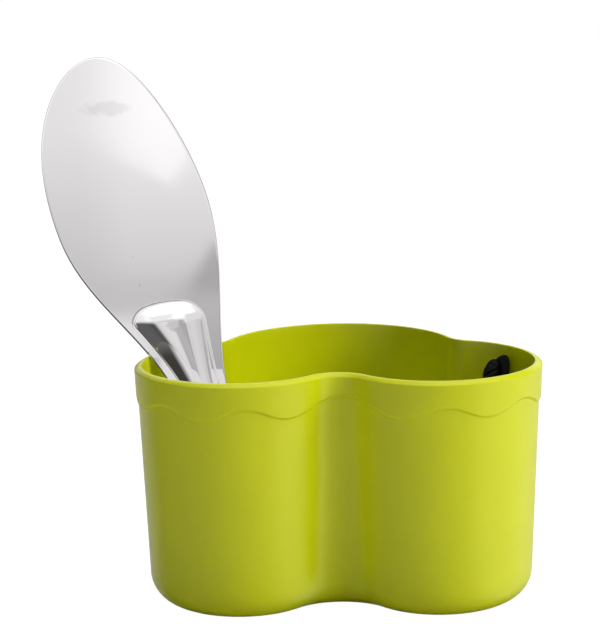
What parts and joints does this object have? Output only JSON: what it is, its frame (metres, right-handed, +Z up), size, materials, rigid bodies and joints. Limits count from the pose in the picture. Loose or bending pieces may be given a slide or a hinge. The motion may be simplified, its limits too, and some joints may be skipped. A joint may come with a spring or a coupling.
{
  "type": "utensil holder",
  "caption": "Three-lobed open utensil pot with a wavy raised rim band, holding a loose steel rice paddle and a small spreader.",
  "frame": {"origin": "on the flat underside of the pot, midway between the axes of its two front lobes", "axes": "+Z up, -Y out of the front, where the waist between the two equal lobes is, +X to the right seen from the front"},
  "size_m": [0.221, 0.1335, 0.2402],
  "materials": {
    "pot_body": "lime green moulded plastic, satin gloss",
    "rice_paddle": "polished stainless steel sheet",
    "black_spreader": "black moulded plastic, glossy"
  },
  "bodies": {
    "pot": {"pot_body": "pot_body"},
    "paddle": {"rice_paddle": "rice_paddle"},
    "spreader": {"black_spreader": "black_spreader"}
  },
  "joints": [
    {"name": "paddle_lift", "type": "slide", "parent": "pot", "child": "paddle", "axis": [-0.3403, 0.139, 0.93], "range_m": [0, 0.125]},
    {"name": "spreader_lift", "type": "slide", "parent": "pot", "child": "spreader", "axis": [0, 0, 1], "range_m": [0, 0.115]}
  ]
}
